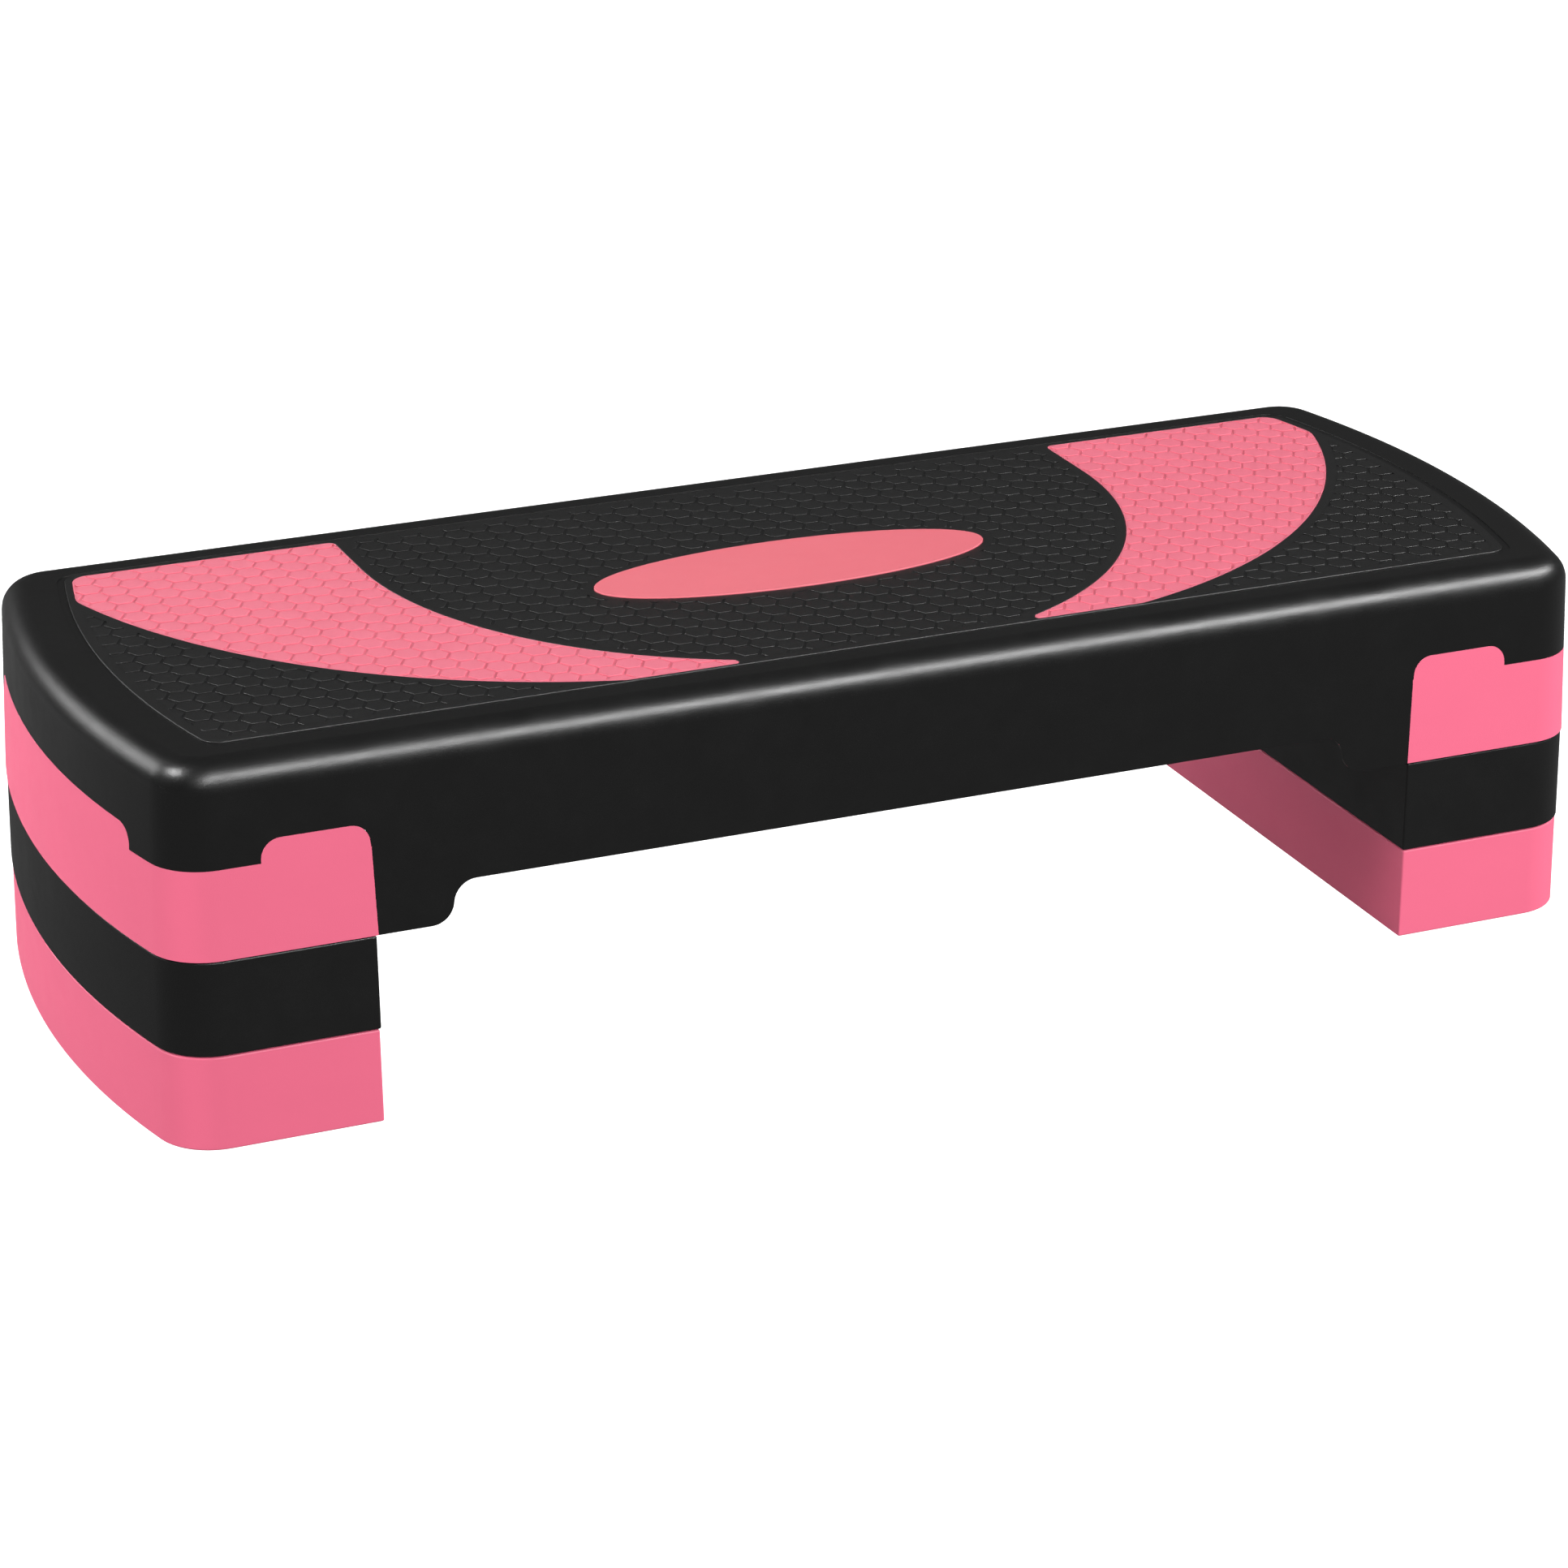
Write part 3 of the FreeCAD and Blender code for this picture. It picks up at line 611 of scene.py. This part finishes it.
def block_inside(name, z0, height):
    """Ribs, stud sockets and foot posts, cut to the hollow and joined to the walls."""
    roof = z0 + height - ROOF + 1
    rib_z = z0 + 2
    middle = (INNER_X + HALF_L) / 2
    solid = bar(name, middle - RIB_HALF, middle + RIB_HALF, -HALF_W, HALF_W, rib_z, roof)
    for y in even_places(-HALF_W, HALF_W, 60):
        carve(solid, bar("cross_rib", INNER_X, HALF_L, y - RIB_HALF, y + RIB_HALF, rib_z, roof), 'UNION')
    sockets = [post("socket", x, -y, z0, roof, STUD_R + SOCKET_GAP + SOCKET_WALL) for x, y in STUD_SPOTS]
    wells = [post("well", x, -y, z0 - 2, roof - 1, STUD_R + SOCKET_GAP) for x, y in STUD_SPOTS]
    feet_spots = ((INNER_X + 15.5, HALF_W - 19), corner_of(HALF_L, HALF_W, END_R, CORNER_R)[:2])
    for x, y in feet_spots:
        sockets.append(post("foot_post", x, -y, z0, roof, FOOT_R + FOOT_WALL))
        wells.append(post("foot_pocket", x, -y, z0 - 2, z0 + FOOT_DEPTH, FOOT_R))
    carve(solid, four_of(joined(sockets, "sockets"), "sockets"), 'UNION')
    carve(solid, four_of(joined(wells, "wells"), "wells"))
    room = taper(block_outline("room", WALL - 0.4, z0), height - ROOF + 0.4, 0)
    carve(solid, room, 'INTERSECT')
    return soften(solid, 0.3, 1)


def riser_block(level):
    """A riser with its studs, at the height of a level counted from the floor."""
    z0 = level * RISER_H + STANDOFF
    height = RISER_H - STANDOFF
    body = soften(block_body("riser", z0, height, RISER_LEAN), 1.1, 4)
    studs = []
    for x, y in STUD_SPOTS:
        stud = post("stud", x, -y, z0 + height - 1, z0 + height + STUD_H, STUD_R, 48)
        studs.append(soften(stud, 1.4, 4))
    studs = four_of(joined(studs, "studs"), "studs")
    return joined([body, block_inside("riser_inside", z0, height), studs], "riser")


def cap_moulding():
    """Cap under one end of the deck: a band, and three tabs that stand up into the skirt."""
    z0 = CAP_Z + STANDOFF
    tab_z = BAND_Z + TAB_H + 1
    body = taper(block_outline("cap", lean_at(z0), z0), tab_z - z0, lean_at(tab_z) - lean_at(z0))
    roof = BAND_Z - ROOF
    hollow = taper(block_outline("cap_hollow", WALL, z0 - 0.5), roof - z0 + 0.5, lean_at(roof))
    carve(body, hollow)
    tabs = tab_prisms("cap_tabs", 0, TAB_SEAT, END_TAB_SEAT)
    core = taper(deck_outline("tab_core", SKIRT, BAND_Z - 6), 24, DECK_LEAN * 24 / (TOP_Z - CAP_Z))
    carve(tabs, core)
    spare = bar("cap_spare", INNER_X - 5, HALF_L + 5, -HALF_W - 5, HALF_W + 5, BAND_Z, tab_z + 5)
    carve(spare, tabs)
    carve(body, spare)
    for x, y in SCREW_SPOTS:
        hole = four_of(post("screw_hole", x, -y, BAND_Z - 10, BAND_Z + 2, 2.3, 24), "screw_holes")
        carve(body, hole)
    soften(body, 0.5, 3)
    return joined([body, block_inside("cap_inside", z0, BAND_Z - z0)], "cap")


# --- Materials ---

def linear(r, g, b):
    """Colour given as screen values from 0 to 255."""
    def one(c):
        c /= 255
        return c / 12.92 if c <= 0.04045 else ((c + 0.055) / 1.055) ** 2.4
    return one(r), one(g), one(b)


def moulded(name, colour, gloss, grain, specular=0.5, mottle=0.06, scuffs=0.0):
    """Moulded plastic: fine spark-eroded grain, slow flow marks, slight changes of colour and gloss, scuffs."""
    material = bpy.data.materials.new(name)
    material.use_nodes = True
    nodes, links = material.node_tree.nodes, material.node_tree.links
    shader = nodes["Principled BSDF"]
    shader.inputs["Specular IOR Level"].default_value = specular
    where = nodes.new("ShaderNodeTexCoord").outputs["Object"]

    def noise(scale, detail, rough=0.5, stretch=(1, 1, 1)):
        mapping = nodes.new("ShaderNodeMapping")
        mapping.inputs["Scale"].default_value = stretch
        links.new(where, mapping.inputs["Vector"])
        texture = nodes.new("ShaderNodeTexNoise")
        texture.inputs["Scale"].default_value = scale
        texture.inputs["Detail"].default_value = detail
        texture.inputs["Roughness"].default_value = rough
        links.new(mapping.outputs["Vector"], texture.inputs["Vector"])
        return texture.outputs["Fac"]

    def spread(value, low, high, start=0.3, end=0.7):
        span = nodes.new("ShaderNodeMapRange")
        for key, number in (("From Min", start), ("From Max", end), ("To Min", low), ("To Max", high)):
            span.inputs[key].default_value = number
        links.new(value, span.inputs["Value"])
        return span.outputs["Result"]

    tone = nodes.new("ShaderNodeMix")
    tone.data_type = 'RGBA'
    tone.inputs[6].default_value = (*[c * (1 - mottle) for c in colour], 1)
    tone.inputs[7].default_value = (*[min(1, c * (1 + mottle)) for c in colour], 1)
    links.new(noise(9, 4, 0.6, (1, 1, 2.5)), tone.inputs[0])
    surface = tone.outputs[2]
    if scuffs:
        rub = nodes.new("ShaderNodeMix")
        rub.data_type = 'RGBA'
        rub.inputs[7].default_value = (*[min(1, c * 1.25 + 0.012) for c in colour], 1)
        links.new(surface, rub.inputs[6])
        links.new(spread(noise(55, 6, 0.7, (1, 3.5, 1)), 0, scuffs, 0.56, 0.72), rub.inputs[0])
        surface = rub.outputs[2]
    links.new(surface, shader.inputs["Base Color"])
    links.new(spread(noise(38, 5, 0.65), gloss - 0.04, gloss + 0.05), shader.inputs["Roughness"])

    fine = nodes.new("ShaderNodeBump")
    fine.inputs["Strength"].default_value = grain
    fine.inputs["Distance"].default_value = 0.00012
    links.new(noise(2600, 2), fine.inputs["Height"])
    flow = nodes.new("ShaderNodeBump")
    flow.inputs["Strength"].default_value = 0.25
    flow.inputs["Distance"].default_value = 0.0006
    links.new(noise(14, 2, 0.4, (1, 1, 1.6)), flow.inputs["Height"])
    links.new(fine.outputs["Normal"], flow.inputs["Normal"])
    links.new(flow.outputs["Normal"], shader.inputs["Normal"])
    return material


def finish_of(piece, material):
    piece.data.materials.clear()
    piece.data.materials.append(material)


# --- Studio ---

def studio():
    """White floor, a world that is lighter just below the horizon, and softboxes for gloss and for fill."""
    put_down()
    bpy.ops.mesh.primitive_plane_add(size=60, location=(0, 0, -FLOOR_DROP))
    floor = named(bpy.context.active_object, "studio_floor")
    paper = bpy.data.materials.new("floor_paper")
    paper.use_nodes = True
    shader = paper.node_tree.nodes["Principled BSDF"]
    shader.inputs["Base Color"].default_value = (0.4, 0.4, 0.4, 1)
    shader.inputs["Roughness"].default_value = 1.0
    shader.inputs["Specular IOR Level"].default_value = 0.0
    shader.inputs["Emission Color"].default_value = (1, 1, 1, 1)
    shader.inputs["Emission Strength"].default_value = 1.0
    finish_of(floor, paper)
    floor.visible_diffuse = False
    floor.visible_glossy = False

    world = bpy.data.worlds.new("studio_world")
    world.use_nodes = True
    nodes, links = world.node_tree.nodes, world.node_tree.links
    nodes["Background"].inputs["Color"].default_value = (1, 1, 1, 1)
    height = nodes.new("ShaderNodeSeparateXYZ")
    links.new(nodes.new("ShaderNodeTexCoord").outputs["Generated"], height.inputs["Vector"])
    share = nodes.new("ShaderNodeMapRange")
    share.inputs["From Min"].default_value = -1.0
    links.new(height.outputs["Z"], share.inputs["Value"])
    fade = nodes.new("ShaderNodeValToRGB")
    stops = fade.color_ramp.elements
    stops.new(0.5)
    for stop, place, level in zip(stops, (0.30, 0.37, 0.51), (0.12, 0.25, 0.08)):
        stop.position = place
        stop.color = (level, level, level, 1)
    links.new(share.outputs["Result"], fade.inputs["Fac"])
    links.new(fade.outputs["Color"], nodes["Background"].inputs["Strength"])
    bpy.context.scene.world = world

    def softbox(name, place, aim, size, power):
        light = bpy.data.lights.new(name, 'AREA')
        light.shape = 'RECTANGLE'
        light.size, light.size_y = size
        light.energy = power
        lamp = bpy.data.objects.new(name, light)
        bpy.context.scene.collection.objects.link(lamp)
        lamp.location = place
        lamp.visible_camera = False
        lamp.rotation_euler = (Vector(aim) - Vector(place)).to_track_quat('-Z', 'Y').to_euler()
        return lamp

    for gleam in (softbox("edge_strip", (0.9, -1.4, 1.7), (0, 0, 0.15), (3.6, 0.17), 112),
                  softbox("corner_box", (-1.75, 0.0, 2.0), (-0.4, -0.1, 0.15), (0.5, 0.5), 42),
                  softbox("left_rim", (-1.9, 1.9, 1.2), (-0.4, 0, 0.15), (1.3, 0.9), 21)):
        gleam.visible_diffuse = False
    for fill in (softbox("back_fill", (0.4, 3.3, 1.1), (0, 0, 0.1), (1.8, 1.2), 60),
                 softbox("right_fill", (3.0, 0.3, 0.9), (0.4, 0, 0.1), (1.4, 1.2), 55),
                 softbox("low_fill", (-0.6, 1.2, 0.2), (0.286, 0, 0.05), (0.5, 0.25), 10),
                 softbox("top_box", (-0.2, 0.2, 2.6), (0, 0, 0.15), (2.6, 1.6), 28),
                 softbox("front_fill", (1.3, -3.4, 1.3), (0, 0, 0.1), (1.8, 1.4), 154),
                 softbox("left_fill", (-3.0, 0.1, 1.0), (-0.4, 0, 0.1), (1.4, 1.2), 80)):
        fill.visible_glossy = False


def camera():
    """Camera in front of the left end, looking down on the step."""
    sight = bpy.data.cameras.new("studio_camera")
    sight.sensor_width = 36
    sight.lens = 110.29
    holder = bpy.data.objects.new("studio_camera", sight)
    bpy.context.scene.collection.objects.link(holder)
    holder.matrix_world = (Matrix.Translation((-0.94948, -2.1904, 1.04201))
                           @ Matrix.Rotation(math.radians(-23.35), 4, 'Z')
                           @ Matrix.Rotation(math.radians(90 - 22.05), 4, 'X')
                           @ Matrix.Rotation(math.radians(0.11), 4, 'Z'))
    bpy.context.scene.camera = holder
    bpy.context.scene.view_settings.view_transform = 'Standard'


# --- Assembly ---

studio()
camera()

deck_black = moulded("deck_black_plastic", linear(16, 16, 16), 0.33, 0.5, 0.5)
mat_black = moulded("mat_black_plastic", linear(26, 26, 26), 0.38, 0.9, 0.5, scuffs=0.25)
inlay_pink = moulded("inlay_pink_plastic", linear(227, 114, 134), 0.5, 0.9, 0.4, 0.02, scuffs=0.08)
badge_coral = moulded("badge_coral_plastic", linear(227, 112, 124), 0.42, 0.4, 0.4, 0.02)
block_pink = moulded("block_pink_plastic", linear(238, 110, 140), 0.42, 0.6, 0.4, 0.03)
block_black = moulded("block_black_plastic", linear(16, 16, 16), 0.4, 0.6, 0.5)
foot_rubber = moulded("foot_rubber", linear(30, 30, 30), 0.75, 0.9, 0.3)
screw_steel = moulded("screw_zinc_steel", (0.55, 0.55, 0.53), 0.3, 0.3, 0.5, 0.1)
screw_steel.node_tree.nodes["Principled BSDF"].inputs["Metallic"].default_value = 1.0


def settle(piece, body, node, material):
    """Give a finished piece its shading, its finish and its body, and hide the CAD node it stands for."""
    shade(piece)
    finish_of(piece, material)
    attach(piece, body)
    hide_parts(node)


settle(deck_moulding(), "deck", "deck_shell", deck_black)

tiles = hexagon_tiles()
settle(tread_sheet(tiles), "deck", "tread_mat", mat_black)
right_crescent = crescent(tiles)
bpy.data.objects.remove(tiles)
settle(mirrored(right_crescent, "left_crescent"), "deck", "left_crescent_inlay", inlay_pink)
settle(right_crescent, "deck", "right_crescent_inlay", inlay_pink)
settle(oval_plate(), "deck", "oval_badge", badge_coral)

cap = named(cap_moulding(), "right_cap_moulding")
settle(mirrored(cap, "left_cap_moulding"), "deck", "left_end_cap", block_pink)
settle(cap, "deck", "right_end_cap", block_pink)

low_block = named(riser_block(0), "right_low_block")
mid_block = moved(copied(low_block, "right_mid_block"), z=RISER_H)
for level, block, slot, material in (("low", low_block, "block_pink", block_pink),
                                     ("mid", mid_block, "block_black", block_black)):
    settle(mirrored(block, "left_%s_block" % level), "left_" + level, "left_%s_riser" % level, material)
    settle(block, "right_" + level, "right_%s_riser" % level, material)

for side in ("left", "right"):
    finish_of(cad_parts[side + "_cap_screws"], screw_steel)
    for level in ("cap", "mid", "low"):
        finish_of(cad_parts["%s_%s_feet" % (side, level)], foot_rubber)
